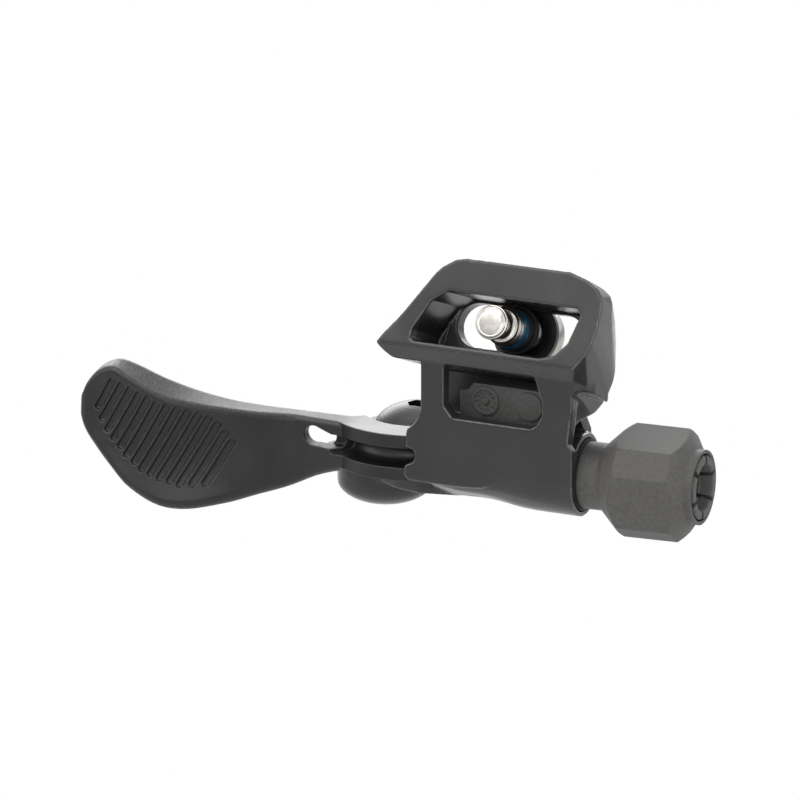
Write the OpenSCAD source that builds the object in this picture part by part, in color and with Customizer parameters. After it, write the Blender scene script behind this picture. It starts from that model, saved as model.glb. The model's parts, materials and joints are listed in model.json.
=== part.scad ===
// Under-bar remote lever for a dropper seatpost.
// Millimetres, +Z up along the lever's pivot, +X along the cable, towards the housing port.
// The origin is on the clamp bolt's axis, at the middle of its free thread.

/* [Lever] */
// Distance from the pivot to the paddle's tip, along X
lever_reach = 40.2; // [36:0.05:46]
// Height of the hub and the neck's root
lever_h = 6; // [5:0.1:7]
// Radius of the hub
hub_r = 7.5; // [7.2:0.1:8.5]
// Height of the hub's top face above the cable
hub_top = 0.5; // [0.2:0.1:1]
// Radius of the round recess over the hub
recess_r = 6.9; // [6.4:0.1:7.2]
// Depth of the dish in the paddle's face
dish_d = 0.9; // [0.5:0.1:1.4]
// Width of one grip groove
rib_w = 0.85; // [0.6:0.05:1]
// Depth of the grip grooves
rib_d = 0.45; // [0.3:0.05:0.7]

/* [Drum and cable] */
// Radius of the cable's path round the drum
drum_r = 9.3; // [8.5:0.1:10.5]
// How far the flanges stand past the cable's path
flange_lip = 1.9; // [1.5:0.1:2.2]
// Height of the cable groove
groove_h = 2.5; // [1.8:0.1:3]
// Depth of the groove's floor behind the cable's path
groove_floor = 0.8; // [0.6:0.1:1.2]
// Height of the teardrop cable hole
cable_hole_h = 2.6; // [2:0.1:2.8]

/* [Pivot] */
// Distance of the pivot from the collar's face
pivot_left = 26.3; // [25:0.1:28]
// Radius of the pivot bolt's shoulder
shoulder_r = 3; // [2.6:0.1:3.4]
// Wall of the pivot bushes
bush_wall = 0.9; // [0.6:0.1:1.2]
// Radius of the pivot bolt's domed head
head_r = 5.5; // [5:0.1:6]
// Height of the pivot bolt's domed head
head_h = 3.2; // [2.4:0.1:3.4]
// Thickness of the washers on the pivot
washer_t = 0.2; // [0.2:0.05:0.4]
// Wire of the return spring
spring_wire = 0.8; // [0.6:0.05:0.9]

/* [Bracket] */
// Thickness of the front wall
wall_t = 1.8; // [1.4:0.1:2.4]
// Turn of the front wall and clamp frame, seen from above
wall_yaw = 5; // [3:0.5:7]
// Width of the lower window
window_w = 13.6; // [11:0.1:14.2]
// Height of the lower window
window_h = 7.25; // [6:0.05:7.6]
// Thickness of the lower arm
arm_t = 1.6; // [1.4:0.1:2.2]
// Radius of the lower arm's domed end
dome_r = 6.1; // [5.6:0.1:6.6]
// Depth of the deep right side wall
side_d = 11; // [10.4:0.1:12]
// Thickness of the side wall
side_t = 2.4; // [1.8:0.1:3]

/* [Clamp frame] */
// Lean of the clamp frame
frame_lean = 23.5; // [18:0.5:28]
// Depth of the pocket in the clamp frame
frame_d = 8.7; // [7.5:0.1:10]
// Thickness of the slot plate
plate_t = 2.4; // [1.6:0.1:2.6]
// Length of the bolt's slot, end to end
slot_l = 17.4; // [15:0.1:17.6]
// Height of the bolt's slot
slot_h = 5.6; // [5.3:0.1:6]

/* [Clamp bolt] */
// Thread diameter of the clamp bolt
bolt_d = 5; // [4:0.1:5]
// Length of the bolt in front of the slot plate
bolt_l = 8.7; // [7.5:0.1:10]
// Diameter of the bolt's socket head
bolt_head_d = 8.4; // [8:0.1:8.6]
// Height of the bolt's socket head
bolt_head_h = 2.6; // [2.4:0.1:3]

/* [Adjuster] */
// Outer radius of the collar
collar_r = 5.3; // [5.2:0.05:5.8]
// Radius of the knob's neck
neck_r = 4.25; // [4:0.05:4.4]
// Distance across the knob's corners
knob_d = 14.4; // [13:0.1:15.4]
// Length of the knob past the collar
knob_l = 15.3; // [13:0.1:17]
// Thread diameter of the barrel
barrel_d = 6; // [5:0.1:6.2]
// Diameter of the cable housing's end cap
port_d = 5.1; // [4.6:0.1:5.6]
// Depth of the housing port
port_l = 7; // [5:0.1:8]

/* [Hidden] */
$fn = 96;

// Small gaps
run = 0.05;
tight = 0.02;
gap = 0.3;
eps = 0.01;

// Colours
black_metal = [0.07, 0.07, 0.075];
satin_black = [0.05, 0.05, 0.055];
plastic = [0.13, 0.13, 0.135];
nickel = [0.78, 0.76, 0.72];
steel = [0.6, 0.6, 0.62];
rubber = [0.03, 0.03, 0.03];
bronze = [0.55, 0.42, 0.25];

// Places. The working frame has the adjuster's axis on X and the collar's face at zero.
pivot = [-pivot_left, drum_r, 0];
half = lever_h / 2;
flange_r = drum_r + flange_lip;
seat = [-11.1, 3.95, 16.53];
wall_x = -2;
wall_face_y = 0.1 - collar_r;

// The part's origin is on the bolt's axis, at the middle of its free thread
thread_from = 1.6;
thread_run = 5;
bolt_dir = [-cos(frame_lean) * sin(wall_yaw), -cos(frame_lean) * cos(wall_yaw), sin(frame_lean)];
part_origin = seat + (thread_from + thread_run) / 2 * bolt_dir;

module in_part_frame() {
    translate(-part_origin)
        children();
}

// Local frame of the clamp: x along the slot, y to the back, z up along the leaning face
module at_clamp() {
    translate(seat)
        rotate([-frame_lean, 0, -wall_yaw])
            children();
}

// Local frame of the front wall: x along it, y to the back, z up
module at_wall() {
    translate([wall_x, wall_face_y, 0])
        rotate([0, 0, -wall_yaw])
            children();
}

module at_pivot() {
    translate(pivot)
        children();
}

module along_x(x, r, h) {
    translate([x, 0, 0])
        rotate([0, 90, 0])
            cylinder(r = r, h = h);
}

// Extrudes an x-z outline backwards, along +Y
module slab(y, depth) {
    translate([0, y + depth, 0])
        rotate([90, 0, 0])
            linear_extrude(height = depth)
                children();
}

// A domed disc: a quarter ellipse turned about Z
module dome(r, h) {
    steps = 12;
    rotate_extrude()
        polygon(concat([[0, 0]], [for (i = [0:steps]) [r * cos(90 * i / steps), h * sin(90 * i / steps)]]));
}

// Lever: the neck and the paddle are one loft through these stations, from the pivot outwards
// x share of the reach, front y, back y, top z, rise to the back edge, bottom z
stations = [
    [0.12, 0.2, 5.0, 3.0, 0, -3.1],
    [0.267, 1.1, 5.1, 3.0, 0, -4.3],
    [0.341, 1.2, 5.0, 3.1, 0, -5.3],
    [0.44, -0.6, 4.0, 3.5, 0, -6.6],
    [0.538, -2.8, 2.4, 4.3, 0, -8.2],
    [0.637, -4.6, 1.0, 5.2, 0.3, -9.1],
    [0.736, -5.4, -0.3, 6.3, 0.8, -8.8],
    [0.835, -5.2, -0.6, 8.1, 0.6, -6.8],
    [0.889, -4.9, -0.6, 8.9, 0.2, -4.4],
    [0.94, -4.3, -0.7, 8.0, 0.1, -2.1],
    [0.98, -3.9, -0.9, 6.1, 0, -0.1],
    [1, -3.4, -1.6, 4.5, 0, 1.6]];

// Smooth value of a station column at a share of the reach
function seg(t, i = 0) = (i >= len(stations) - 2 || t <= stations[i + 1][0]) ? i : seg(t, i + 1);
function slope(c, i) =
    i == 0 ? (stations[1][c] - stations[0][c]) / (stations[1][0] - stations[0][0]) :
    i == len(stations) - 1 ? (stations[i][c] - stations[i - 1][c]) / (stations[i][0] - stations[i - 1][0]) :
    (stations[i + 1][c] - stations[i - 1][c]) / (stations[i + 1][0] - stations[i - 1][0]);
function smooth(t, c) =
    let (i = seg(t), w = stations[i + 1][0] - stations[i][0], q = (t - stations[i][0]) / w)
    (2 * q ^ 3 - 3 * q ^ 2 + 1) * stations[i][c] + (q ^ 3 - 2 * q ^ 2 + q) * w * slope(c, i)
    + (3 * q ^ 2 - 2 * q ^ 3) * stations[i + 1][c] + (q ^ 3 - q ^ 2) * w * slope(c, i + 1);

// One corner of a section: an arc of radius r about (y, z), from angle a over 90 degrees
function corner(x, y, z, r, a) = [for (i = [0:5]) [x, y + r * cos(a + 18 * i), z + r * sin(a + 18 * i)]];

// Depth of the dish at a share of the reach
function dish(t) = dish_d * max(0, 1 - ((t - 0.72) / 0.27) ^ 2);

// A section of the loft; inset moves its front face back
function section(t, inset = 0) =
    let (x = -pivot_left - t * lever_reach, yf = smooth(t, 1) + inset, yb = smooth(t, 2), zt = smooth(t, 3),
         zb = smooth(t, 5), up = smooth(t, 4), m = min(yb - yf, zt - zb) / 2 - 0.02,
         rs = min(0.7, m), rl = min(1.4, m), za = zt - rs, zc = zb + rl, mid = (za + zc) / 2,
         face = [for (i = [1:7]) let (z = za + (zc - za) * i / 8)
             [x, yf + dish(t) * (1 - ((z - mid) / (za - mid)) ^ 2), z]])
    concat(corner(x, yb - rl, zt + up - rl, rl, 0), corner(x, yf + rs, zt - rs, rs, 90), face,
           corner(x, yf + rl, zb + rl, rl, 180), corner(x, yb - rl, zb + rl, rl, 270));

module lever_loft(inset = 0) {
    count = 44;
    rings = [for (i = [0:count]) let (q = i / count) section(0.12 + 0.88 * (1 - (1 - q) ^ 1.6), inset)];
    n = len(rings[0]);
    points = [for (ring = rings) for (p = ring) p];
    sides = [for (i = [0:count - 1]) for (j = [0:n - 1])
        let (a = i * n + j, b = i * n + (j + 1) % n)
        each [[a, b, a + n], [b, b + n, a + n]]];
    first = [[for (j = [0:n - 1]) n - 1 - j]];
    last = [[for (j = [0:n - 1]) count * n + j]];
    polyhedron(points = points, faces = concat(first, sides, last));
}

// Start and end of each grip groove along its lean, from the tip inwards
grooves = [[-1.8, 3.3], [-2.8, 3.6], [-3.5, 3.8], [-3.9, 4.0], [-4.3, 4.2], [-4.8, 4.3], [-5.0, 4.7],
           [-5.2, 5.1], [-5.1, 5.5], [-4.9, 5.8], [-4.5, 5.9], [-4.2, 5.7], [-3.4, 5.1], [-2.5, 4.3]];
groove_pitch = 1.27;
groove_lean = 60.5;
groove_mid_x = -55.5;

module grip_grooves() {
    difference() {
        slab(-12, 15)
            translate([groove_mid_x, 0])
                rotate(groove_lean)
                    for (i = [0:len(grooves) - 1])
                        translate([0, (7.1 - i) * groove_pitch])
                            stadium(grooves[i][0], grooves[i][1], rib_w / 2);
        lever_loft(rib_d);
    }
}

module stadium(a, b, r) {
    translate([a + r, 0])
        circle(r = r, $fn = 24);
    translate([b - r, 0])
        circle(r = r, $fn = 24);
    translate([a + r, -r])
        square([b - a - 2 * r, 2 * r]);
}

// The two flanges of the drum, on the front of the hub
sector_start = -141;
groove_start = -136;
sector_end = -60;

module sector(from, to, r, h) {
    linear_extrude(height = h)
        polygon(concat([[0, 0]],
            [for (i = [0:8]) let (a = from + (to - from) * i / 8) r * [cos(a), sin(a)]]));
}

module drum_sector() {
    translate([0, 0, -half])
        intersection() {
            cylinder(r = flange_r, h = lever_h);
            sector(sector_start, sector_end, 2 * flange_r, lever_h);
        }
}

// The cable groove runs round the drum into the teardrop hole
module cable_groove() {
    floor_r = drum_r - groove_floor;
    at_pivot()
        intersection() {
            rotate_extrude() {
                translate([floor_r + groove_h / 2, 0])
                    circle(d = groove_h, $fn = 32);
                translate([floor_r + groove_h / 2, -groove_h / 2])
                    square([6, groove_h]);
            }
            translate([0, 0, -half])
                sector(groove_start, sector_end + 4, 3 * flange_r, lever_h);
        }
}
// The teardrop hole takes the cable from the groove to the back of the lever; its tail is blind
hole_x = -37.25;
hole_z = 0.75;
tail_x = -34.35;
tail_z = 0.15;
tail_r = 0.9;
tail_floor = 3.3;
channel_x = -36.05;
channel_y = 3.1;
channel_r = 1.05;
module cable_hole() {
    r = cable_hole_h / 2;
    slab(-4, 12)
        translate([hole_x, hole_z])
            circle(r = r, $fn = 48);
    slab(-4, tail_floor + 4) {
        translate([tail_x, tail_z])
            circle(r = tail_r, $fn = 32);
        polygon([[hole_x - 0.5, hole_z - r * 0.92], [tail_x - 0.15, tail_z - tail_r * 0.98],
                 [tail_x + 0.15, tail_z + tail_r * 0.98], [hole_x + 0.45, hole_z + r * 0.93]]);
    }
    // Channel for the cable along the back of the lever, towards its clamp
    slab(channel_y, 5) {
        translate([channel_x, 0.2])
            circle(r = channel_r, $fn = 32);
        polygon([[clamp_x, -1.4], [channel_x - 1.1, -1.4], [channel_x, 0.2 - channel_r],
                 [channel_x, 0.2 + channel_r], [channel_x - 1.1, 2.2], [clamp_x, 2.2]]);
    }
}

// Cable clamp on the back of the lever
clamp_x = -44.8;
clamp_z = -2.1;
clamp_y = 4.9;
clamp_bolt_r = 2;
clamp_head_r = 3.3;

module at_cable_clamp() {
    translate([clamp_x, clamp_y, clamp_z])
        rotate([-90, 0, 0])
            children();
}

module lever() {
    color(satin_black)
        difference() {
            union() {
                at_pivot() {
                    drum_sector();
                    translate([0, 0, -half])
                        cylinder(r = hub_r, h = half + hub_top);
                }
                lever_loft();
                at_cable_clamp()
                    translate([0, 0, -2])
                        cylinder(r = clamp_head_r + gap, h = 2);
            }
            at_pivot() {
                // Room for the lower arm, right under the lever
                translate([0, 0, -half - 12])
                    cylinder(r = flange_r - 0.4, h = 12);
                // Round recess over the hub
                translate([0, 0, hub_top])
                    cylinder(r = recess_r, h = 2 * lever_h);
                // Bore for the bushes, and pocket for the spring
                translate([0, 0, -half - 1])
                    cylinder(r = bush_r, h = half + hub_top + 2);
                translate([0, 0, -half - 1])
                    difference() {
                        cylinder(r = pocket_r, h = pocket_h + 1);
                        cylinder(r = pocket_in_r, h = pocket_h + 1);
                    }
                rotate([0, 0, spring_turns * 360 + 5])
                    translate([spring_r, 0, -half])
                        cylinder(r = spring_wire / 2 + run, h = half + hub_top - 0.3, $fn = 24);
            }
            cable_groove();
            cable_hole();
            grip_grooves();
            at_cable_clamp()
                translate([0, 0, -3.5])
                    cylinder(r = clamp_bolt_r + tight, h = 4);
        }
}

module cable_clamp_plate() {
    color(steel)
        at_cable_clamp()
            difference() {
                translate([-clamp_head_r, -clamp_head_r, 0])
                    cube([2 * clamp_head_r, 2 * clamp_head_r, 1]);
                translate([0, 0, -1])
                    cylinder(r = clamp_bolt_r + run, h = 3);
                // Groove for the cable, over the bolt
                translate([-clamp_head_r - 1, -clamp_bolt_r - 1.1, -1])
                    cube([2 * clamp_head_r + 2, 1, 1.5]);
            }
}

module cable_clamp_bolt() {
    color(nickel)
        at_cable_clamp()
            difference() {
                union() {
                    translate([0, 0, -3.4])
                        cylinder(r = clamp_bolt_r, h = 4.5);
                    translate([0, 0, 1])
                        cylinder(r = clamp_head_r, h = 2.4);
                }
                translate([0, 0, 1.6])
                    hex_socket(2.5, 3);
            }
}

module hex_socket(across, h) {
    cylinder(r = across / 2 / cos(30), h = h, $fn = 6);
}

// Pivot: bolt, bushes, washers and spring
bush_r = shoulder_r + bush_wall;
pocket_in_r = 4.6;
pocket_r = 6.6;
pocket_h = 2.85;
spring_r = (pocket_r + pocket_in_r) / 2;
spring_turns = 2.2;
spring_pitch = spring_wire + run;
arm_top = -half - washer_t;
head_z = hub_top + washer_t;
thread_r = 2.5;
thread_l = 3.8;

module pivot_bolt() {
    color(satin_black)
        at_pivot()
            difference() {
                union() {
                    translate([0, 0, head_z])
                        dome(head_r, head_h);
                    translate([0, 0, arm_top])
                        cylinder(r = shoulder_r, h = head_z - arm_top + eps);
                    translate([0, 0, arm_top - thread_l])
                        cylinder(r = thread_r, h = thread_l + eps);
                }
                translate([0, 0, head_z + 0.8])
                    hex_socket(2.5, head_h);
            }
}

module ring(inner, outer, h) {
    difference() {
        cylinder(r = outer, h = h);
        translate([0, 0, -1])
            cylinder(r = inner, h = h + 2);
    }
}

module head_washer() {
    color(steel)
        at_pivot()
            translate([0, 0, hub_top])
                ring(shoulder_r + run, head_r - 0.3, washer_t);
}

module thrust_washer() {
    color(bronze)
        at_pivot()
            translate([0, 0, arm_top])
                ring(shoulder_r + run, pocket_in_r - 0.2, washer_t);
}

module pivot_bush_upper() {
    color(bronze)
        at_pivot()
            translate([0, 0, hub_top - bush_l])
                ring(shoulder_r + run, bush_r, bush_l);
}

module pivot_bush_lower() {
    color(bronze)
        at_pivot()
            translate([0, 0, -half])
                ring(shoulder_r + run, bush_r, bush_l);
}

bush_l = (half + hub_top) / 2 - 0.2;

// Each place along the wire: angle, height, and how far the wire has turned upright
module return_spring() {
    steps = 60;
    around = 12;
    r = spring_wire / 2;
    bend = 0.5;
    low = -half + r + 0.05;
    high = low + spring_pitch * spring_turns;
    lean = bend / spring_r * 180 / PI;
    path = concat([[-lean, arm_top - 1.4, 90], [-lean, low - bend, 90], [-0.4 * lean, low - 0.3 * bend, 45]],
        [for (i = [0:steps]) [360 * spring_turns * i / steps, low + (high - low) * i / steps, 0]],
        [[360 * spring_turns + 0.7 * lean, high + 0.3 * bend, 45],
         [360 * spring_turns + lean, high + bend, 90], [360 * spring_turns + lean, hub_top - 0.4, 90]]);
    points = [for (k = path) for (j = [0:around - 1])
        let (b = 360 * j / around, w = spring_r + r * cos(b), t = -r * sin(b) * sin(k[2]))
        [w * cos(k[0]) - t * sin(k[0]), w * sin(k[0]) + t * cos(k[0]), k[1] + r * sin(b) * cos(k[2])]];
    last = (len(path) - 1) * around;
    sides = [for (i = [0:len(path) - 2]) for (j = [0:around - 1])
        let (p = i * around + j, q = i * around + (j + 1) % around)
        each [[p, p + around, q], [q, p + around, q + around]]];
    ends = [for (j = [1:around - 2]) each [[0, j, j + 1], [last, last + j + 1, last + j]]];
    color(steel)
        at_pivot()
            polyhedron(points = points, faces = concat(sides, ends));
}

// Clamp frame: a block from its front face to the slot plate, through four outlines
frame_front = [[-14.7, -4.43], [12.27, -4.43], [13.56, -2.54], [14.19, -0.97], [14.55, 1.4], [14.64, 3.3],
               [14.5, 5], [13.6, 6.1], [12.1, 6.9], [9.6, 7.6], [-4.7, 7.45], [-6.2, 7.1], [-7.8, 6],
               [-8.6, 5.1]];
frame_edge = [[-14.3, -5.3], [-13.2, -5.95], [11.4, -5.95], [12.5, -4.4], [13.6, -2.2], [14.2, 0.5],
              [14.4, 3.3], [14.2, 4.9], [13.4, 6], [12, 6.75], [9.5, 7.5], [-4.6, 7.3], [-7.7, 5.8]];
frame_side = [[-10, -5.95], [12.45, -5.95], [13.3, -3.6], [14, -0.5], [14.3, 2.8], [14.05, 4.7], [13.6, 5.6],
              [12.5, 6.35], [9.4, 7.1], [-4, 7]];
frame_back = [[-12, -4.6], [-11, -5.95], [12.75, -5.95], [13.1, -4.5], [13.1, -3.2], [12.6, -0.1],
              [11.9, 3], [10.9, 5.2], [9.6, 6.4], [-4.4, 6.4], [-7, 5]];
edge_y = 2.3;
side_y = 4.5;

module frame_block() {
    hull() {
        slab(-frame_d, 0.02)
            polygon(frame_front);
        slab(edge_y - frame_d, 0.02)
            polygon(frame_edge);
        slab(side_y - frame_d, 0.02)
            polygon(frame_side);
        slab(plate_t - 0.02, 0.02)
            polygon(frame_back);
    }
}

module frame_window() {
    polygon([[-9.94, -3.7], [7.3, -3.7], [9.3, -3.1], [10.8, -1.4], [11.95, 2.3], [11.35, 3.12],
             [-6.4, 3.12], [-8.4, 1.7], [-10.45, -2.2], [-10.5, -3.3]]);
}

module clamp_frame() {
    difference() {
        frame_block();
        slab(-frame_d - 1, frame_d + 1)
            frame_window();
        slot_cut();
    }
}

// Slot for the clamp bolt
slot_mid = 0.4;
module slot_cut() {
    slab(-1, plate_t + 2)
        translate([slot_mid, 0])
            stadium(-slot_l / 2, slot_l / 2, slot_h / 2);
}

// Front wall, under the clamp frame, with the lower window
wall_left = -19.4;
wall_right = 1.5;
wall_foot = -2.2;
wall_top = 13.8;
window_left = -16.2;
window_top = 14;

module front_wall() {
    window_foot = window_top - window_h;
    window_right = window_left + window_w;
    slab(0, wall_t)
        difference() {
            polygon([[-21.1, wall_foot], [-21.8, -1.6], [-21.6, -0.3], [-20.5, 0.2], [-20.1, 1.15],
                     [-20.5, 1.9], [-21.5, 2.1], [-21.4, 4.35], [-20.6, 5.1], [-19.8, 6.1],
                     [wall_left, 7.2], [wall_left, wall_top], [wall_right, wall_top],
                     [wall_right, 0], [-7, -0.5], [-11, wall_foot]]);
            polygon([[window_left, window_top + 1], [window_left, 8.2], [-15, window_foot],
                     [window_right - 1.6, window_foot], [window_right - 0.7, 7.4], [window_right - 0.1, 8.5],
                     [window_right, 10.1], [window_right - 0.5, 11.8], [window_right - 1.6, window_top + 1]]);
        }
}

// Side wall: it flares out to the clamp frame's right end, above a crease
flare = 1.4;
crease_r = 5;
module side_wall() {
    intersection() {
        translate([wall_right - side_t, 0, 0])
            rotate([90, 0, 90])
                linear_extrude(height = side_t + flare)
                    polygon([[0, 4.9], [0.7, 6], [1.2, 6.8], [1.8, 7.2], [3.2, 7.5], [5.5, 7.6],
                             [side_d - 3.9, 7.7], [side_d - 2.2, 8.3], [side_d - 1, 9.5],
                             [side_d - 0.3, 11.2], [side_d, 13], [side_d, 14.6], [9, 13.4], [0, 13.9]]);
        translate([0, 0, 4])
            linear_extrude(height = 20)
                polygon([[-4, -1], [wall_right, -1], [wall_right, 0.05], [wall_right + 0.45, 0.6],
                         [wall_right + 0.85, 1.3], [wall_right + 1.1, 2.3], [wall_right + flare, 4],
                         [wall_right + flare, 7.9], [wall_right + 0.9, 8.5], [wall_right, 9.2],
                         [wall_right - 0.9, 10.6], [0.3, 13], [-4, 13]]);
    }
}

// Hollow under the side wall's crease: it widens towards the front
crease_x = 15.6;
crease_y = -6;
crease_z = -10.3;
crease_turn = 5;
module side_hollow() {
    from_wall_to_clamp()
        translate([crease_x, crease_y, crease_z])
            rotate([-90, 0, -crease_turn])
                cylinder(r = crease_r, h = 40, center = true);
}

// Cuts the leaning right edge of the front wall
module leaning_edge() {
    from_wall_to_clamp()
        slab(-20, 40)
            polygon([[11.65, -6.95], [10.8, -13.4], [11.3, -14.1], [15, -14.1], [15, -9.5], [12.2, -6.95]]);
}

// The clamp's frame, inside the front wall's
module from_wall_to_clamp() {
    rotate([0, 0, wall_yaw])
        translate([seat[0] - wall_x, seat[1] - wall_face_y, seat[2]])
            rotate([-frame_lean, 0, -wall_yaw])
                children();
}

// Web behind the lower window, that carries the slot plate
web_left = -20.3;
web_d = 7;
web_t = 1.8;
module back_web() {
    slab(web_d, web_t)
        polygon([[web_left, 3], [0.2, 3], [0.2, 5], [-0.9, 7.8], [-0.9, 12], [web_left, 12]]);
}

// Body: from the front wall's left end to the round tube of the adjuster
body_left = -20.3;
body_top = 5.2;
tube_left = -9.3;
collar_depth = 2.8;
collar_x = -0.5;
module body() {
    hull() {
        along_x(collar_x - 0.1, collar_r, 0.1, $fn = 48);
        translate([0, -tube_left * sin(wall_yaw), 0])
            along_x(tube_left, collar_r, 0.1, $fn = 48);
        translate([body_left, 0, 0])
            rotate([90, 0, 90])
                linear_extrude(height = 0.2)
                    polygon([[-3.4, body_top], [3, body_top], [3, -4.4], [0.4, -4.4], [-3.4, wall_foot]]);
    }
}

// Lower arm, under the lever: it ends in a dome that holds the pivot bolt
dome_x = -30.5;
dome_y = 9.1;
dome_h = 2.9;
dome_foot = -6.4;
module lower_arm() {
    translate([0, 0, arm_top - arm_t])
        linear_extrude(height = arm_t) {
            polygon([[-12, 1.6], [-14.2, 1], [-22.8, -0.4], [-26.3, 0.8], [-28.9, 2.5], [-30.6, 4.1],
                     [-30.5, 14.8], [-24, 14.2], [-18, 10], [-12, 4.8]]);
            translate([dome_x, dome_y])
                circle(r = dome_r);
        }
    translate([dome_x, dome_y, dome_foot])
        cylinder(r = dome_r, h = arm_top - dome_foot);
    translate([dome_x, dome_y, dome_foot])
        rotate([180, 0, 0])
            dome(dome_r, dome_h);
    // Thread boss of the pivot bolt
    at_pivot()
        translate([0, 0, dome_foot])
            cylinder(r = thread_r + 1.4, h = arm_top - dome_foot);
}

// Stop for the lever, in the frame of the drum sector's free end: x outwards, y away from the lever
bumper_r = 1.05;
bumper_l = 2.4;
bumper_out = 9.4;
module at_stop() {
    at_pivot()
        rotate([0, 0, sector_end])
            translate([bumper_out, 0, -half + bumper_r + 0.1])
                children();
}

module stop_boss() {
    at_stop()
        translate([-1.4, 1, -bumper_r - 0.6])
            cube([2.9, 3.6, 2 * bumper_r + 0.8]);
}

module stop_bumper() {
    color(rubber)
        at_stop()
            rotate([-90, 0, 0])
                translate([0, 0, run])
                    cylinder(r = bumper_r, h = bumper_l - run, $fn = 48);
}

module bracket_solid() {
    difference() {
        union() {
            at_clamp()
                clamp_frame();
            at_wall() {
                difference() {
                    front_wall();
                    leaning_edge();
                }
                difference() {
                    side_wall();
                    side_hollow();
                    leaning_edge();
                }
                back_web();
            }
            body();
            lower_arm();
        }
        // Room for the drum
        at_pivot()
            translate([0, 0, arm_top])
                cylinder(r = flange_r + 0.4, h = lever_h + 0.4);
    }
    stop_boss();
}

module bracket() {
    color(black_metal)
        difference() {
            bracket_solid();
            at_pivot() {
                translate([0, 0, arm_top])
                    cylinder(r = hub_r + gap, h = 2 * lever_h);
                translate([0, 0, arm_top - thread_l - 0.3])
                    cylinder(r = thread_r + tight, h = thread_l + 1);
                rotate([0, 0, -5])
                    translate([spring_r, 0, arm_top - 1.6])
                        cylinder(r = spring_wire / 2 + run, h = 2, $fn = 24);
            }
            at_stop()
                rotate([-90, 0, 0])
                    cylinder(r = bumper_r, h = bumper_l, $fn = 48);
            // Collar, adjuster thread and cable bore
            along_x(-collar_depth, neck_r + 0.4, collar_depth + 1);
            along_x(thread_left, barrel_d / 2 + run, -thread_left);
            along_x(-24, cable_r, 20);
            at_cover_screw()
                cylinder(r = cover_screw_r + run, h = 8, center = true);
        }
}

// Adjuster: knob, threaded barrel, friction ring, and the sleeve that takes the cable's housing
cable_r = 1;
thread_left = -10;
barrel_left = -8.8;
barrel_right = 7.4;
neck_in = 1.5;
cone_foot = 2.3;
block_left = 5.5;
block_right = knob_l - 2.6;
mouth_r = 3.45;
ring_w = 0.7;
ring_in_r = neck_r - 0.3;
knob_turn = 18.5;

// Knob section: a square with cut corners; angles from the viewer's side upwards
module knob_outline() {
    polygon([for (a = [90, 30, 0, -60, -90, -150, -180, -240])
        knob_d / 2 * [-cos(a + knob_turn), sin(a + knob_turn)]]);
}

module adjuster_knob() {
    color(plastic)
        difference() {
            union() {
                along_x(-neck_in, neck_r, cone_foot + neck_in + 0.2);
                intersection() {
                    translate([cone_foot, 0, 0])
                        rotate([90, 0, 90])
                            linear_extrude(height = knob_l - cone_foot)
                                knob_outline();
                    // Coned ends
                    rotate([0, 90, 0])
                        rotate_extrude()
                            polygon([[0, cone_foot], [neck_r, cone_foot], [knob_d / 2 + 0.1, block_left],
                                     [knob_d / 2 + 0.1, block_right], [4.9, knob_l], [0, knob_l]]);
                }
            }
            // Bore round the barrel, and mouth for the sleeve
            along_x(-neck_in - 1, barrel_d / 2, knob_l);
            along_x(barrel_right, mouth_r, knob_l);
            // Seat of the friction ring
            translate([-ring_w - 0.4, 0, 0])
                rotate([0, 90, 0])
                    ring(ring_in_r, neck_r + 1, ring_w);
        }
}

module friction_ring() {
    color(rubber)
        translate([-ring_w - 0.4, 0, 0])
            rotate([0, 90, 0])
                ring(ring_in_r, neck_r + 0.35, ring_w);
}

module adjuster_barrel() {
    color(steel)
        difference() {
            along_x(barrel_left, barrel_d / 2, barrel_right - barrel_left);
            along_x(barrel_left - 1, cable_r + 0.3, knob_l + 10);
        }
}

// Six fingers hold the housing's end cap
finger_slit = 0.5;
module housing_sleeve() {
    sleeve_left = barrel_right + 0.1;
    sleeve_right = sleeve_left + 0.6 + port_l;
    color(plastic)
        difference() {
            along_x(sleeve_left, mouth_r - run, sleeve_right - sleeve_left);
            along_x(sleeve_right - port_l, port_d / 2, port_l + 1);
            along_x(sleeve_left - 1, cable_r + 0.3, 3);
            for (i = [0:2])
                rotate([60 * i + knob_turn, 0, 0])
                    translate([sleeve_right - 3.4, -finger_slit / 2, -mouth_r])
                        cube([4, finger_slit, 2 * mouth_r]);
        }
}

// Clamp bolt, along its own axis: z towards the tip, from the slot plate's front face
shank_r = bolt_d / 2 - 0.3;
tip_t = 1.2;
neck_d = 2.8;
tip_d = 4.4;
washer_h = 0.8;
washer_r = 4.3;
retainer_t = 1.5;

module at_bolt() {
    at_clamp()
        rotate([90, 0, 0])
            children();
}

module clamp_bolt() {
    head_top = -plate_t - washer_h;
    color(nickel)
        at_bolt()
            difference() {
                union() {
                    translate([0, 0, head_top - bolt_head_h])
                        cylinder(d = bolt_head_d, h = bolt_head_h);
                    translate([0, 0, head_top - eps])
                        cylinder(r = shank_r, h = thread_from - head_top + 2 * eps);
                    translate([0, 0, thread_from])
                        cylinder(d = bolt_d, h = thread_run - thread_from);
                    cylinder(d = neck_d, h = bolt_l - 0.5);
                    translate([0, 0, bolt_l - tip_t])
                        cylinder(d = tip_d, h = tip_t);
                }
                translate([0, 0, head_top - bolt_head_h - 1])
                    hex_socket(3, 3);
            }
}

module bolt_retainer() {
    color(rubber)
        at_bolt()
            translate([0, 0, run])
                ring(shank_r, slot_h / 2 + 0.15, retainer_t);
}

module clamp_washer() {
    color(satin_black)
        at_bolt()
            translate([0, 0, -plate_t - washer_h])
                ring(shank_r + run, washer_r, washer_h - run);
}

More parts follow.
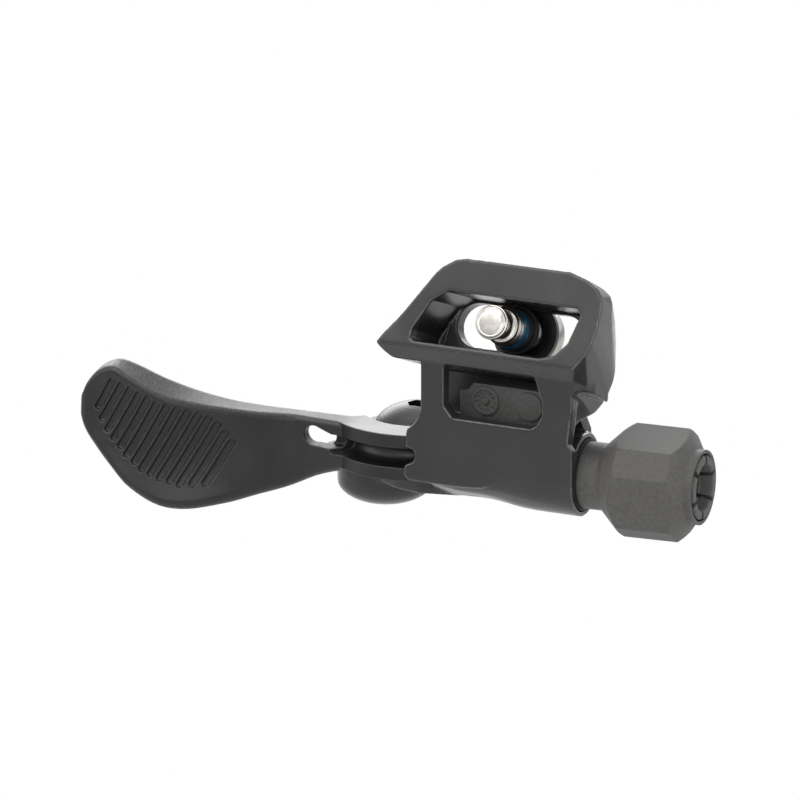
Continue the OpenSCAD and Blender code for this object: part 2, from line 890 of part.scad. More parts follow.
// Inner cover behind the lower window, in the front wall's frame
cover_d = 4;
cover_t = 1.2;
cover_left = -15.8;
cover_right = -2.2;
cover_foot = 5.45;
cover_top = 10.45;
cover_screw_r = 1.25;
cover_screw_s = -9;
cover_screw_z = 7.6;

module at_cover_screw() {
    at_wall()
        translate([cover_screw_s, web_d, cover_screw_z])
            rotate([-90, 0, 0])
                children();
}

module inner_cover() {
    depth = web_d - cover_d - run;
    color(plastic)
        difference() {
            union() {
                at_wall() {
                    difference() {
                        slab(cover_d, depth)
                            polygon([[cover_left, cover_foot], [cover_left, 9.2], [-14.6, 9.5], [-13.9, cover_top],
                                     [cover_right, cover_top], [cover_right, cover_foot]]);
                        slab(cover_d + cover_t, depth)
                            polygon([[cover_left + cover_t, 0], [cover_left + cover_t, 8.4], [-13.2, 8.7],
                                     [-12.6, cover_top - cover_t], [cover_right - cover_t, cover_top - cover_t],
                                     [cover_right - cover_t, 0]]);
                    }
                    // Round marks: a plain dial on the left, a raised disc on the right
                    translate([-12.25, cover_d + 0.01, 8.3])
                        rotate([90, 0, 0]) {
                            ring(1.45, 1.9, 0.25);
                            cylinder(r = 0.5, h = 0.25);
                            for (i = [0:11])
                                rotate(30 * i)
                                    translate([1, -0.08, 0])
                                        cube([0.5, 0.16, 0.2]);
                        }
                    translate([-6.15, cover_d + 0.01, 8.3])
                        rotate([90, 0, 0])
                            cylinder(r = 1.85, h = 0.25);
                }
                at_cover_screw()
                    translate([0, 0, cover_t - depth])
                        cylinder(r = 2.2, h = depth - cover_t - run);
            }
            at_cover_screw()
                translate([0, 0, -1.8])
                    cylinder(r = cover_screw_r, h = 3);
        }
}

module cover_screw() {
    color(steel)
        at_cover_screw()
            difference() {
                union() {
                    translate([0, 0, -1.7])
                        cylinder(r = cover_screw_r, h = web_t + 1.7);
                    translate([0, 0, web_t])
                        cylinder(r = 2.1, h = 1.3);
                }
                translate([0, 0, web_t + 0.5])
                    hex_socket(1.5, 2);
            }
}

in_part_frame() bracket();
in_part_frame() lever();
in_part_frame() inner_cover();
in_part_frame() adjuster_knob();
in_part_frame() adjuster_barrel();
in_part_frame() housing_sleeve();
in_part_frame() friction_ring();
in_part_frame() clamp_bolt();
in_part_frame() bolt_retainer();
in_part_frame() clamp_washer();
in_part_frame() pivot_bolt();
in_part_frame() head_washer();
in_part_frame() pivot_bush_upper();
in_part_frame() pivot_bush_lower();
in_part_frame() thrust_washer();
in_part_frame() return_spring();
in_part_frame() cable_clamp_bolt();
in_part_frame() cable_clamp_plate();
in_part_frame() cover_screw();
in_part_frame() stop_bumper();
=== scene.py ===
# Looks of the under-bar remote lever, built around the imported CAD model.
# Lengths are in metres, or in mm where MM multiplies them or a comment says so.
# Places and directions repeat those of the CAD source, in its part frame.
import json
import math

import bmesh
import bpy
import numpy as np
from mathutils import Matrix, Vector


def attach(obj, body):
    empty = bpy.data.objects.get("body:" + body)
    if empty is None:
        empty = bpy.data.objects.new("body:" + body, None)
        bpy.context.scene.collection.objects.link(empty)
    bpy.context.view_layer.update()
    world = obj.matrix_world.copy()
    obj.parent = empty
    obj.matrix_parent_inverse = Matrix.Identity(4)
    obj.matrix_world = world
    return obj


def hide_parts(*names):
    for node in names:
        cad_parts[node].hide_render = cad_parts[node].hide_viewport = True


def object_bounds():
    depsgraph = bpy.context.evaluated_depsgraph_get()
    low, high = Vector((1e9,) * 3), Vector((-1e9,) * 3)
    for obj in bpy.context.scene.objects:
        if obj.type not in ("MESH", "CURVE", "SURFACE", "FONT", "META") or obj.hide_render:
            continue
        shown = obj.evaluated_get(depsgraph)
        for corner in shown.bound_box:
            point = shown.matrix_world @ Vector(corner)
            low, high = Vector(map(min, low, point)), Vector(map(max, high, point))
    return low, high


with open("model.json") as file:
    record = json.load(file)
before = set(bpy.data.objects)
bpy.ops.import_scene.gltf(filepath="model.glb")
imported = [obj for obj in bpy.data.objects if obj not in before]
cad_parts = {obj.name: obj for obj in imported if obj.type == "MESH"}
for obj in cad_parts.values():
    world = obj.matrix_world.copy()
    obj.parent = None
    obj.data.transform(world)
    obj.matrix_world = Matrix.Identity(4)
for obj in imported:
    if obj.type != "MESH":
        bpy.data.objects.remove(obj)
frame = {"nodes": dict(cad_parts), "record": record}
CAD_BOX = [list(corner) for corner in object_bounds()]
NODES = frame["nodes"]
SLOT_OF = {row["node"]: row["material_slot"] for row in frame["record"]["subparts"]}
MM = 0.001

# Camera: the photograph is square, 100 mm wide at the object, with no perspective to speak of
AZIMUTH = math.radians(20.2)
ELEVATION = math.radians(17.5)
FRAME_WIDTH = 100 * MM
CENTRE = Vector((-21.70, 20.16, -17.85)) * MM
DISTANCE = 0.4
CLIP = (0.01, 5)

# The clamp bolt's direction, towards its tip, and where its axis meets the slot plate's front face
LEAN = math.radians(23.5)
YAW = math.radians(5)
BOLT_DIR = Vector((-math.cos(LEAN) * math.sin(YAW), -math.cos(LEAN) * math.cos(YAW), math.sin(LEAN)))
PLATE_FACE = -3.3 * MM * BOLT_DIR

# The adjuster's axis runs along X through ADJUSTER, at the collar's face, and END, at the knob's end
ADJUSTER = Vector((11.3636, -0.935, -17.846)) * MM
KNOB_LENGTH = 15.3 * MM
END = ADJUSTER + Vector((KNOB_LENGTH, 0, 0))

WELD_WITHIN = 0.002 * MM


# ---------------------------------------------------------------- objects
def add_object(name, data):
    obj = bpy.data.objects.new(name, data)
    bpy.context.scene.collection.objects.link(obj)
    return obj


def mesh_object(name, bm):
    """A new object from this bmesh, which is freed."""
    mesh = bpy.data.meshes.new(name)
    bm.to_mesh(mesh)
    bm.free()
    return add_object(name, mesh)


def shade_smooth(mesh):
    for face in mesh.polygons:
        face.use_smooth = True


def evaluated_mesh(obj):
    """The object's mesh after its modifiers, as a new mesh."""
    bpy.context.view_layer.update()
    graph = bpy.context.evaluated_depsgraph_get()
    return bpy.data.meshes.new_from_object(obj.evaluated_get(graph))


def turn_to(x, y, z, origin):
    """The matrix with these axes and this origin."""
    matrix = Matrix((x, y, z)).transposed().to_4x4()
    matrix.translation = origin
    return matrix


def pointing(origin, back):
    """A matrix at origin whose +Z is back: it looks along -Z, as lamps do."""
    z = back.normalized()
    x = Vector((0, 0, 1)).cross(z).normalized()
    return turn_to(x, z.cross(x), z, origin)


def view_axes():
    """The photograph's directions: right, up and into the picture."""
    right = Vector((math.cos(AZIMUTH), math.sin(AZIMUTH), 0))
    level = math.cos(ELEVATION)
    into = Vector((-math.sin(AZIMUTH) * level, math.cos(AZIMUTH) * level, -math.sin(ELEVATION)))
    return right, right.cross(into), into


RIGHT, UP, INTO = view_axes()


# ---------------------------------------------------------------- materials
class Tree:
    """Short calls for the nodes and links of a material's or the world's node tree."""

    def __init__(self, owner):
        owner.use_nodes = True
        self.tree = owner.node_tree
        self.tree.nodes.clear()

    def feed(self, socket, value):
        """Sets a socket to a value, or links another node's output to it."""
        if isinstance(value, bpy.types.NodeSocket):
            self.tree.links.new(value, socket)
        elif socket.type == "RGBA":
            socket.default_value = (*value, 1)
        else:
            socket.default_value = value

    def node(self, kind, **inputs):
        """A new node; an underscore in an input's name stands for a space."""
        node = self.tree.nodes.new("ShaderNode" + kind)
        for name, value in inputs.items():
            self.feed(node.inputs[name.replace("_", " ")], value)
        return node

    def math(self, operation, a, b):
        node = self.node("Math")
        node.operation = operation
        self.feed(node.inputs[0], a)
        self.feed(node.inputs[1], b)
        return node.outputs[0]

    def spread(self, value, low, high, to_low=0.0, to_high=1.0):
        """Turns low to high into to_low to to_high, and holds the ends beyond them."""
        node = self.node("MapRange", Value=value, From_Min=low, From_Max=high, To_Min=to_low, To_Max=to_high)
        return node.outputs[0]

    def blend(self, factor, shader, other):
        """One shader where the factor is 0, the other where it is 1."""
        node = self.node("MixShader")
        for socket, value in zip(node.inputs, (factor, shader.outputs[0], other.outputs[0])):
            self.feed(socket, value)
        return node.outputs[0]


# Most values of a noise texture lie between these
NOISE = (0.3, 0.7)
# Places of a Mix node's colour sockets
COLOUR_A, COLOUR_B, COLOUR_OUT = 6, 7, 2


class Material(Tree):
    def __init__(self, name):
        self.mat = bpy.data.materials.new(name)
        super().__init__(self.mat)
        self.place = self.node("TexCoord").outputs["Object"]

    def noise(self, size, detail=2.0, rough=0.5, stretch=None):
        """Noise with features of about this size, in metres."""
        place = self.place
        if stretch:
            place = self.node("Mapping", Vector=place, Scale=stretch).outputs[0]
        return self.node("TexNoise", Vector=place, Scale=1 / size, Detail=detail, Roughness=rough).outputs[0]

    def mix(self, factor, a, b):
        node = self.node("Mix", Factor=factor)
        node.data_type = "RGBA"
        self.feed(node.inputs[COLOUR_A], a)
        self.feed(node.inputs[COLOUR_B], b)
        return node.outputs[COLOUR_OUT]

    def part_of(self, vector, axis):
        """The X, Y or Z of a vector."""
        return self.node("SeparateXYZ", Vector=vector).outputs[axis]

    def edge_wear_and_highlight(self, low, high, amount):
        """How much lighter colour is painted on, most along the outer edges that mark_edges found and broken into
        patches: a painted edge highlight, partly edge wear.
        """
        mask = self.node("Attribute")
        mask.attribute_name = EDGE
        patches = self.spread(self.noise(1.3 * MM, 3, 0.6), *NOISE, 0.35, 1.0)
        edges = self.spread(mask.outputs["Fac"], low, high)
        return self.math("MULTIPLY", self.math("MULTIPLY", edges, patches), amount)

    def bump(self, height, distance, strength=1.0, **under):
        return self.node("Bump", Height=height, Distance=distance, Strength=strength, **under).outputs[0]

    def finish(self, **values):
        shader = self.node("BsdfPrincipled", **values)
        self.node("OutputMaterial", Surface=shader.outputs[0])
        return self.mat


# The attribute of a rounded mesh that tells its outer edges
EDGE = "edge"


def anodised():
    """Black anodising: faint clouds, a fine grain, and outer edges painted lighter, partly edge wear and partly a
    painted edge highlight.
    """
    t = Material("anodised_black")
    cloud = t.noise(9 * MM, 3)
    grain = t.noise(0.12 * MM, 2, 0.6)
    colour = t.mix(t.spread(cloud, *NOISE), (0.024, 0.024, 0.0235), (0.034, 0.034, 0.033))
    # Light grey on the outer edges: a painted edge highlight, partly edge wear
    colour = t.mix(t.edge_wear_and_highlight(0.02, 0.045, 0.6), colour, (0.22, 0.216, 0.21))
    rough = t.math("ADD", t.spread(cloud, *NOISE, 0.2, 0.27), t.spread(grain, *NOISE, -0.03, 0.03))
    return t.finish(Base_Color=colour, Roughness=rough, Normal=t.bump(grain, 0.004 * MM, 0.5))


def lever_black():
    """Satin black; the upward rim of the paddle and neck is coarse, as cast and blasted."""
    t = Material("satin_black")
    upward = t.spread(t.part_of(t.node("NewGeometry").outputs["Normal"], "Z"), 0.45, 0.7)
    outward = t.spread(t.part_of(t.place, "X"), -20.5 * MM, -22.5 * MM)
    coarse = t.math("MULTIPLY", upward, outward)
    cloud = t.noise(7 * MM, 3)
    grain = t.noise(0.14 * MM, 2, 0.6)
    sand = t.noise(0.22 * MM, 4, 0.7)
    plain = t.mix(t.spread(cloud, *NOISE), (0.007, 0.007, 0.0068), (0.013, 0.013, 0.0125))
    speckled = t.mix(t.spread(sand, 0.42, 0.62), (0.014, 0.014, 0.014), (0.075, 0.074, 0.07))
    # Light grey on the outer edges: a painted edge highlight, partly edge wear
    colour = t.mix(t.edge_wear_and_highlight(0.012, 0.02, 0.25), t.mix(coarse, plain, speckled), (0.2, 0.197, 0.19))
    rough = t.math("ADD", t.spread(cloud, *NOISE, 0.33, 0.42), t.math("MULTIPLY", coarse, 0.08))
    fine = t.bump(grain, 0.004 * MM, 0.5)
    normal = t.bump(t.math("MULTIPLY", sand, coarse), 0.05 * MM, 0.8, Normal=fine)
    return t.finish(Base_Color=colour, Roughness=rough, Normal=normal)


def plastic():
    """Moulded plastic: a mottled surface with a fine spark texture."""
    t = Material("dark_plastic")
    patches = t.noise(0.6 * MM, 5, 0.62)
    grain = t.noise(0.18 * MM, 3, 0.7)
    both = t.math("ADD", t.math("MULTIPLY", patches, 0.7), t.math("MULTIPLY", grain, 0.3))
    colour = t.mix(t.spread(both, 0.38, 0.62), (0.072, 0.07, 0.067), (0.108, 0.105, 0.102))
    rough = t.spread(patches, *NOISE, 0.52, 0.68)
    return t.finish(Base_Color=colour, Roughness=rough, Normal=t.bump(grain, 0.02 * MM, 0.7))


def metal(name, colour, rough, brushed=None):
    """Bare metal: slightly clouded, brushed along one direction where a stretch is given."""
    t = Material(name)
    grain = t.noise(0.25 * MM, 3, 0.6, brushed)
    cloud = t.noise(2.5 * MM, 2)
    dull = tuple(c * 0.82 for c in colour)
    shade = t.mix(t.spread(cloud, *NOISE), dull, colour)
    roughness = t.spread(grain, *NOISE, rough * 0.75, rough * 1.3)
    bump = t.bump(grain, 0.003 * MM, 0.5)
    return t.finish(Base_Color=shade, Metallic=1.0, Roughness=roughness, Normal=bump)


def bolt_nickel():
    """Bright nickel, with a ragged blue thread-lock patch on the thread next to the retainer."""
    t = Material("nickel")
    axial = t.node("VectorMath")
    axial.operation = "DOT_PRODUCT"
    t.feed(axial.inputs[0], t.place)
    t.feed(axial.inputs[1], BOLT_DIR)
    ragged = t.spread(t.noise(0.8 * MM, 3), *NOISE, -0.35 * MM, 0.35 * MM)
    place = t.math("ADD", axial.outputs["Value"], ragged)
    patch = t.math("MULTIPLY", t.spread(place, -2.0 * MM, -1.9 * MM), t.spread(place, -0.1 * MM, -0.3 * MM))
    cloud = t.noise(0.9 * MM, 3)
    bright = t.mix(t.spread(cloud, *NOISE), (0.43, 0.41, 0.38), (0.56, 0.54, 0.51))
    blue = t.mix(t.spread(cloud, 0.35, 0.65), (0.015, 0.11, 0.27), (0.04, 0.27, 0.5))
    return t.finish(Base_Color=t.mix(patch, bright, blue), Metallic=t.spread(patch, 0, 1, 1.0, 0.15),
                    Roughness=t.spread(patch, 0, 1, 0.24, 0.42), Normal=t.bump(cloud, 0.006 * MM, 0.4))


def rubber():
    t = Material("rubber")
    grain = t.noise(0.2 * MM, 3)
    colour = t.mix(grain, (0.012, 0.012, 0.012), (0.03, 0.03, 0.03))
    rough = t.spread(grain, *NOISE, 0.55, 0.75)
    return t.finish(Base_Color=colour, Roughness=rough, Normal=t.bump(grain, 0.01 * MM, 0.6))


MATERIALS = {
    "anodised_black": anodised(),
    "satin_black": lever_black(),
    "dark_plastic": plastic(),
    "steel": metal("steel", (0.6, 0.6, 0.62), 0.3, brushed=(1, 1, 6)),
    "nickel": bolt_nickel(),
    "bronze": metal("bronze", (0.5, 0.36, 0.2), 0.35),
    "alloy": metal("alloy", (0.5, 0.5, 0.52), 0.35, brushed=(6, 1, 1)),
    "rubber": rubber(),
}


def dress(obj, slot):
    obj.data.materials.clear()
    obj.data.materials.append(MATERIALS[slot])


# ---------------------------------------------------------------- rounded and fitted pieces
def add_rounding(obj, voxel, rounds):
    """Remeshes with voxels of this size in mm, and relaxes the mesh this many times."""
    remesh = obj.modifiers.new("remesh", "REMESH")
    remesh.mode = "VOXEL"
    remesh.voxel_size = voxel * MM
    remesh.use_smooth_shade = True
    smooth = obj.modifiers.new("smooth", "SMOOTH")
    smooth.factor = 0.5
    smooth.iterations = rounds


def soften(node, voxel, rounds):
    """Rounds a CAD node's edges in place, as moulding does."""
    obj = NODES[node]
    obj.modifiers.new("weld", "WELD").merge_threshold = WELD_WITHIN
    add_rounding(obj, voxel, rounds)


def mark_edges(mesh, sharp):
    """Keeps, as an attribute in mm, how far each point was drawn in by smoothing: most on outer edges."""
    count = len(mesh.vertices)
    after, before, normal = (np.empty(count * 3) for _ in range(3))
    mesh.vertices.foreach_get("co", after)
    sharp.vertices.foreach_get("co", before)
    mesh.vertices.foreach_get("normal", normal)
    drawn_in = ((before - after) * normal).reshape(-1, 3).sum(axis=1) / MM
    ends = np.empty(len(mesh.edges) * 2, dtype=np.int32)
    mesh.edges.foreach_get("vertices", ends)
    one, two = ends[0::2], ends[1::2]
    neighbours = np.bincount(ends, minlength=count)
    for _ in range(2):
        total = np.bincount(one, drawn_in[two], count) + np.bincount(two, drawn_in[one], count)
        drawn_in = 0.5 * drawn_in + 0.5 * total / neighbours
    mesh.attributes.new(EDGE, "FLOAT", "POINT").data.foreach_set("value", np.clip(drawn_in, 0, 1))
    bpy.data.meshes.remove(sharp)


def reworked(name, node, body, voxel, rounds, warp, cutter=None):
    """A piece that stands for a CAD node: its solid, cut, rounded and then warped by a small amount."""
    work = add_object(name + "_work", NODES[node].data.copy())
    work.modifiers.new("weld", "WELD").merge_threshold = WELD_WITHIN
    if cutter:
        cut = work.modifiers.new("cut", "BOOLEAN")
        cut.object = cutter
        cut.solver = "EXACT"
    add_rounding(work, voxel, rounds)
    mesh = evaluated_mesh(work)
    mesh.name = name
    work.modifiers["smooth"].show_viewport = False
    mark_edges(mesh, evaluated_mesh(work))
    bpy.data.objects.remove(work)
    if cutter:
        bpy.data.objects.remove(cutter)
    for vertex in mesh.vertices:
        vertex.co = warp(vertex.co)
    shade_smooth(mesh)
    piece = add_object(name, mesh)
    dress(piece, SLOT_OF[node])
    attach(piece, body)
    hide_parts(node)


def ease(x, low, high):
    """0 up to low, 1 from high on, smooth between."""
    t = min(1, max(0, (x - low) / (high - low)))
    return t * t * (3 - 2 * t)


def along(table, x):
    """Smooth interpolation in a table of (x, value) rows; nothing beyond its ends."""
    for (x0, v0), (x1, v1) in zip(table, table[1:]):
        if x0 <= x <= x1:
            return v0 + (v1 - v0) * ease(x, x0, x1)
    return 0.0


def in_view(co):
    """Where a place shows in the photograph: mm to the right of its centre, and mm above it."""
    return (co - CENTRE).dot(RIGHT) / MM, (co - CENTRE).dot(UP) / MM


# Fine fitting of outlines, in mm in the photograph's plane. The paddle, left of PADDLE:
# how far its end moves outwards at a height, and where its edge is at a height
PADDLE = -28
END_SHIFT = ((-13, 0), (-5.2, 0.45), (1.5, 0))
END_EDGE = ((-13, -33), (-9.5, -35), (-7.5, -36.2), (-5.5, -37.6), (-3.5, -39), (0, -39.7), (2.5, -39), (5, -37.5))
# How far the neck's underside moves down, from left to right, and the heights between which that fades out
NECK_SHIFT = ((-25.5, 0), (-14.5, 0.95), (-6.5, 0))
NECK_FADE = (-9.3, -6.3)
# The visual paddle stays this far inside the CAD model's box
INSIDE = 0.01 * MM
# How far the clamp frame's left tip moves outwards, below TIP_TOP, and where that fades out and in
TIP_SHIFT = 0.35
TIP_TOP = 13
TIP_FADE_ACROSS = (-2.2, 0.5)
TIP_FADE_UP = (1, 3)
# How far the body's underside moves up, from left to right, and the heights between which that fades out
FOOT_SHIFT = ((6.5, 0), (11.5, 0.4), (17.5, 0))
FOOT_FADE = (-12, -9.5)
# The knob's end: its face is recessed, and a round lip stands before its cone; sizes in mm
END_ZONE = 3.2
END_RECESS = 0.25
LIP_R = 4.75
LIP_LENGTH = 1.15
CONE_SLOPE = 1.5
# The mouth of the knob, opened for the sleeve's flange
MOUTH_R = 4.32 * MM
MOUTH_DEPTH = 1.3 * MM


def fit_lever(co):
    across, height = in_view(co)
    moved = co.copy()
    if across < PADDLE:
        edge = along(END_EDGE, height)
        moved -= RIGHT * along(END_SHIFT, height) * MM * (1 - ease(across, edge + 0.3, edge + 2.6))
    moved.z -= along(NECK_SHIFT, across) * MM * (1 - ease(height, *NECK_FADE))
    moved.x = max(moved.x, CAD_BOX[0][0] + INSIDE)
    return moved


def fit_bracket(co):
    across, height = in_view(co)
    moved = co.copy()
    if height < TIP_TOP:
        moved -= RIGHT * TIP_SHIFT * MM * (1 - ease(across, *TIP_FADE_ACROSS)) * ease(height, *TIP_FADE_UP)
    moved.z += along(FOOT_SHIFT, across) * MM * (1 - ease(height, *FOOT_FADE))
    return moved


def fit_knob(co):
    moved = co.copy()
    back = (END.x - co.x) / MM
    if back < END_ZONE:
        moved.x = min(moved.x, END.x - END_RECESS * MM)
        y, z = co.y - END.y, co.z - END.z
        r = math.hypot(y, z)
        limit = (LIP_R + max(0, back - LIP_LENGTH) * CONE_SLOPE) * MM
        if r > limit:
            moved.y, moved.z = END.y + y * limit / r, END.z + z * limit / r
    return moved


def mouth_cutter():
    start, end = END - Vector((MOUTH_DEPTH, 0, 0)), END + Vector((1 * MM, 0, 0))
    bm = bmesh.new()
    bmesh.ops.create_cone(bm, cap_ends=True, segments=96, radius1=MOUTH_R, radius2=MOUTH_R,
                          depth=(end - start).length)
    bm.transform(pointing((start + end) / 2, end - start))
    return mesh_object("mouth", bm)


# ---------------------------------------------------------------- clamp bolt, retainer and pad
def bolt_matrix():
    """The bolt's frame: z towards its tip, from the slot plate's front face."""
    x = Vector((math.cos(YAW), -math.sin(YAW), 0))
    return turn_to(x, BOLT_DIR.cross(x), BOLT_DIR, PLATE_FACE)


def turned(name, rows, around=96):
    """A turned part on the bolt's axis, from rows in mm of height and radius, from one end to the other.

    In the place of a radius, a function of the angle gives the radius there.
    """
    bm = bmesh.new()
    frame_of_bolt = bolt_matrix()

    def point(r, a, z):
        return bm.verts.new(frame_of_bolt @ (Vector((r * math.cos(a), r * math.sin(a), z)) * MM))

    angles = [2 * math.pi * i / around for i in range(around)]
    rings = [[point(radius(a) if callable(radius) else radius, a, height) for a in angles]
             for height, radius in rows]
    steps = [(i, (i + 1) % around) for i in range(around)]
    for low, high in zip(rings, rings[1:]):
        for i, j in steps:
            bm.faces.new((low[i], low[j], high[j], high[i]))
    for ring, (height, _) in ((rings[0], rows[0]), (rings[-1], rows[-1])):
        middle = point(0, 0, height)
        for i, j in steps:
            bm.faces.new((middle, ring[i], ring[j]))
    bmesh.ops.recalc_face_normals(bm, faces=bm.faces)
    obj = mesh_object(name, bm)
    shade_smooth(obj.data)
    return obj


# Sizes of the clamp bolt and its neighbours, in mm. Head: rows of height over its outer face, and radius
HEAD_FACE = -5.8
HEAD_ROWS = ((0.02, 1.78), (0, 1.86), (0, 3.55), (0.06, 3.75), (0.3, 4.08), (0.5, 4.17), (0.62, 4.2),
             (2.35, 4.2), (2.52, 4.14), (2.6, 4.0), (2.6, 2.55), (2.66, 2.25))
SOCKET_ACROSS = 3.0
SOCKET_DEPTH = 2.0
SOCKET_FILLET = 0.12
SOCKET_MOUTH = 0.15
# The shank's end, and the thread
SHANK_END = (1.3, 2.2)
PITCH = 0.8
THREAD_FROM = 1.6
THREAD_TO = 5.0
THREAD_STEP = 0.05
CREST = 2.5
ROOT = 2.12
# From the thread's end: the groove, the necked part and the tip
TIP_ROWS = ((5.02, 2.05), (5.06, 1.75), (5.2, 1.52), (5.4, 1.42), (5.7, 1.4), (7.1, 1.4), (7.3, 1.43),
            (7.42, 1.55), (7.5, 1.8), (7.52, 1.95), (7.58, 2.08), (7.7, 2.17), (7.85, 2.2), (8.22, 2.2),
            (8.32, 2.18), (8.37, 2.1), (8.375, 2.03), (8.39, 2.0), (8.5, 1.98), (8.58, 1.92), (8.62, 1.84),
            (8.625, 1.76), (8.6, 1.7), (8.62, 1.64), (8.66, 1.55), (8.68, 1.3), (8.7, 0.9), (8.7, 0.3))
RETAINER_ROWS = ((0.12, 2.22), (0.12, 3.0), (0.18, 3.08), (0.3, 3.12), (0.55, 3.1), (0.68, 3.02), (0.72, 2.95),
                 (0.74, 2.8), (0.8, 2.74), (0.9, 2.72), (1.3, 2.7), (1.45, 2.64), (1.53, 2.5), (1.55, 2.35),
                 (1.55, 2.22))
# The pad's rim: its path on the slot plate, and its radius
RIM_PATH = ((-9.75, -3.7), (-9.55, -2.6), (-9.4, -1.2), (-9.25, 0.2), (-9.1, 1.4), (-8.95, 2.0), (-8.6, 2.45),
            (-8.1, 2.75), (-7.6, 2.95), (-7.1, 3.0))
RIM_R = 0.2
RIM_SINK = 0.02


def socket_wall(a, share=1):
    """The radius of the hexagonal socket at an angle."""
    turn = (a + math.pi / 6) % (math.pi / 3) - math.pi / 6
    return share * SOCKET_ACROSS / 2 / math.cos(turn)


def thread_rows():
    """Rows of the 5 mm thread: the radius follows a helix, and fades out at both ends."""
    steps = int((THREAD_TO - THREAD_FROM) / THREAD_STEP)
    rows = []
    for k in range(steps + 1):
        z = THREAD_FROM + (THREAD_TO - THREAD_FROM) * k / steps

        def radius(a, z=z):
            phase = (z / PITCH - a / (2 * math.pi)) % 1
            wave = min(1, max(0, 1.25 - 2.5 * abs(phase - 0.5)))
            fade = min(1, (z - THREAD_FROM) / 0.25 + 0.25, (THREAD_TO - z) / 0.45)
            return ROOT + (CREST - ROOT) * wave * max(fade, 0)

        rows.append((z, radius))
    return rows


def make_bolt():
    floor = HEAD_FACE + SOCKET_DEPTH
    rows = [(floor, lambda a: socket_wall(a, 0.96)), (floor - SOCKET_FILLET, socket_wall),
            (HEAD_FACE + SOCKET_MOUTH, socket_wall)]
    rows += [(HEAD_FACE + z, r) for z, r in HEAD_ROWS]
    rows += [SHANK_END, *thread_rows(), *TIP_ROWS]
    bolt = turned("clamp_bolt_threaded", rows)
    dress(bolt, "nickel")
    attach(bolt, "clamp")
    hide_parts("clamp_bolt")


def make_retainer():
    """The ring that keeps the bolt in the slot: stepped, with a flange against the plate."""
    ring = turned("retainer_ring", RETAINER_ROWS)
    dress(ring, "rubber")
    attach(ring, "clamp")
    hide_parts("bolt_retainer")


def make_pad_edge():
    """The low rim of the slot's pad, on the slot plate."""
    data = bpy.data.curves.new("pad_edge", "CURVE")
    data.dimensions = "3D"
    data.bevel_depth = RIM_R * MM
    data.bevel_resolution = 4
    data.use_fill_caps = True
    spline = data.splines.new("NURBS")
    spline.points.add(len(RIM_PATH) - 1)
    for point, (x, y) in zip(spline.points, RIM_PATH):
        point.co = (*(bolt_matrix() @ (Vector((x, y, -RIM_SINK)) * MM)), 1)
    spline.use_endpoint_u = True
    spline.order_u = 4
    spline.resolution_u = 8
    curve = add_object("pad_edge_curve", data)
    mesh = evaluated_mesh(curve)
    bpy.data.objects.remove(curve)
    shade_smooth(mesh)
    rim = add_object("pad_edge", mesh)
    dress(rim, "anodised_black")
    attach(rim, "bracket")


# ---------------------------------------------------------------- housing sleeve
# Profiles of (place along the adjuster from the knob's end, radius), in mm
TUBE = ((-7.75, 1.05), (-7.2, 1.05), (-7.2, 2.56), (-3.3, 2.56), (-3.3, 3.4), (-7.7, 3.4), (-7.75, 3.3))
FINGER = ((-3.3, 2.56), (-1.7, 2.56), (-1.6, 2.7), (-0.3, 2.95), (-0.08, 3.03), (0, 3.16), (0, 3.82),
          (-0.1, 3.98), (-0.28, 4.06), (-0.95, 4.06), (-1, 3.95), (-1, 3.44), (-1.15, 3.4), (-3.3, 3.4))
# The fingers, in degrees
FINGERS = 6
FINGER_START = 23.5
FINGER_SPAN = 50


def swept(name, profile, sectors):
    """A closed profile swept round the adjuster's axis, through sectors of (start, stop) in degrees."""
    bm = bmesh.new()
    for start, stop in sectors:
        whole = stop - start == 360
        steps = 96 if whole else 14
        rings = []
        for i in range(steps if whole else steps + 1):
            a = math.radians(start + (stop - start) * i / steps)
            rings.append([bm.verts.new(END + Vector((x, r * math.cos(a), r * math.sin(a))) * MM)
                          for x, r in profile])
        following = rings[1:] + (rings[:1] if whole else [])
        for one, two in zip(rings, following):
            for j in range(len(profile)):
                k = (j + 1) % len(profile)
                bm.faces.new((one[j], one[k], two[k], two[j]))
        if not whole:
            bm.faces.new(rings[0])
            bm.faces.new(rings[-1])
    bmesh.ops.recalc_face_normals(bm, faces=bm.faces)
    return mesh_object(name, bm)


def make_sleeve():
    """Six fingers with a rolled flange at the knob's end, and the tube that they stand on."""
    starts = [360 / FINGERS * k + FINGER_START for k in range(FINGERS)]
    tube = swept("sleeve_tube", TUBE, [(0, 360)])
    fingers = swept("sleeve_fingers", FINGER, [(start, start + FINGER_SPAN) for start in starts])
    for obj in (tube, fingers):
        bevel = obj.modifiers.new("bevel", "BEVEL")
        bevel.width = 0.08 * MM
        bevel.segments = 2
        bevel.limit_method = "ANGLE"
        bevel.angle_limit = math.radians(50)
        dress(obj, "dark_plastic")
        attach(obj, "cable_stop")
    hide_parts("housing_sleeve")


# ---------------------------------------------------------------- studio
# Name, place from the picture's centre, size and power in watts
LAMPS = (
    ("back_soft", (-0.2, 0.54, 0.2), (0.7, 0.3), 2.8),
    ("top_soft", (-0.05, 0.1, 0.55), (0.4, 0.3), 0.6),
    ("key", (-0.25, -0.4, 0.5), (0.4, 0.4), 1.5),
    ("fill", (0.1, -0.5, 0.12), (0.3, 0.3), 0.35),
    ("right_strip", (0.5, -0.12, 0.12), (0.05, 0.4), 0.7),
    ("left_strip", (-0.5, -0.25, 0.15), (0.05, 0.4), 0.4),
)
FLOOR_SIZE = 1.5
FLOOR_HEIGHT = -0.15
PALE = (0.8, 0.8, 0.8)
WHITE = (1, 1, 1)


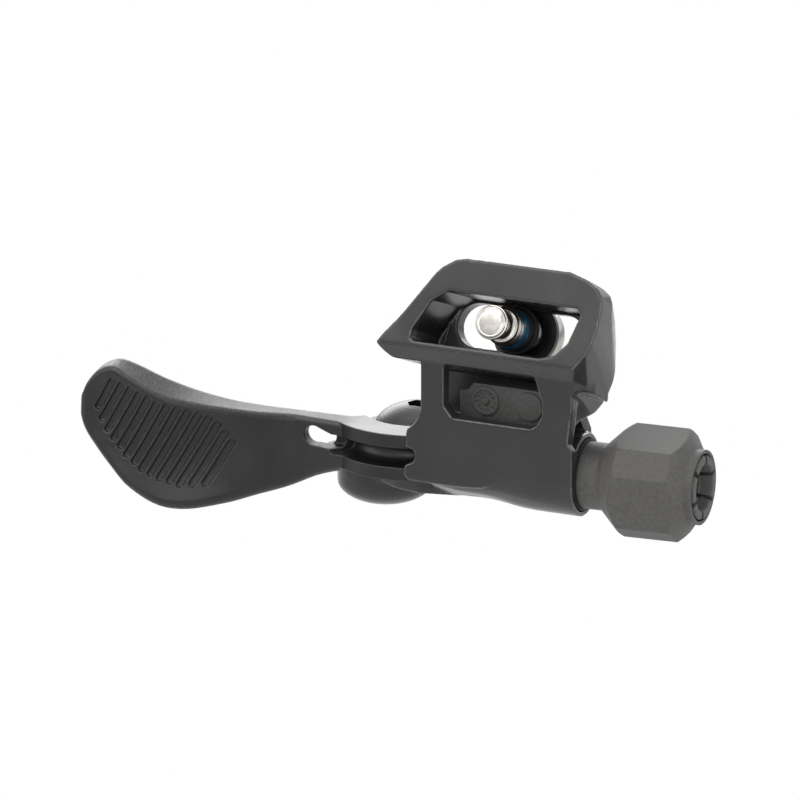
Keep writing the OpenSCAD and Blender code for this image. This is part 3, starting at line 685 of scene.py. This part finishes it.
def make_camera():
    data = bpy.data.cameras.new("camera")
    data.type = "ORTHO"
    data.ortho_scale = FRAME_WIDTH
    data.clip_start, data.clip_end = CLIP
    camera = add_object("camera", data)
    camera.matrix_world = turn_to(RIGHT, UP, -INTO, CENTRE - DISTANCE * INTO)
    bpy.context.scene.camera = camera


def make_world():
    """White where it is seen, mirrored or seen through; a softer light, more from above, elsewhere."""
    world = bpy.data.worlds.new("studio")
    bpy.context.scene.world = world
    t = Tree(world)
    rays = t.node("LightPath").outputs
    white = t.math("MAXIMUM", rays["Is Camera Ray"], rays["Is Glossy Ray"])
    white = t.math("MAXIMUM", white, rays["Is Transmission Ray"])
    direction = t.node("SeparateXYZ", Vector=t.node("TexCoord").outputs["Generated"])
    strength = t.spread(direction.outputs["Z"], -0.9, 0.9, 0.3, 0.55)
    lit = t.node("Background", Color=PALE, Strength=strength)
    seen = t.node("Background", Color=WHITE, Strength=1)
    t.node("OutputWorld", Surface=t.blend(white, lit, seen))


def make_floor():
    """A pale floor, that is white to the camera."""
    bm = bmesh.new()
    bmesh.ops.create_grid(bm, x_segments=1, y_segments=1, size=FLOOR_SIZE)
    floor = mesh_object("floor", bm)
    floor.location.z = FLOOR_HEIGHT
    mat = bpy.data.materials.new("floor_white")
    t = Tree(mat)
    camera_ray = t.node("LightPath").outputs["Is Camera Ray"]
    pale = t.node("BsdfDiffuse", Color=PALE)
    glow = t.node("Emission", Color=WHITE, Strength=1)
    t.node("OutputMaterial", Surface=t.blend(camera_ray, pale, glow))
    floor.data.materials.append(mat)


def make_lamp(name, place, size, power):
    data = bpy.data.lights.new(name, "AREA")
    data.shape = "RECTANGLE"
    data.size, data.size_y = size
    data.energy = power
    lamp = add_object(name, data)
    lamp.matrix_world = pointing(CENTRE + Vector(place), Vector(place))


# ---------------------------------------------------------------- the scene
for name, obj in NODES.items():
    dress(obj, SLOT_OF[name])
soften("inner_cover", voxel=0.08, rounds=2)
reworked("bracket_body", "bracket", "bracket", voxel=0.13, rounds=15, warp=fit_bracket)
reworked("lever_blade", "lever", "lever", voxel=0.11, rounds=5, warp=fit_lever)
reworked("knob", "adjuster_knob", "adjuster", voxel=0.13, rounds=5, warp=fit_knob, cutter=mouth_cutter())
make_bolt()
make_retainer()
make_pad_edge()
make_sleeve()
make_camera()
make_world()
make_floor()
for lamp in LAMPS:
    make_lamp(*lamp)
bpy.context.scene.view_settings.view_transform = "Standard"
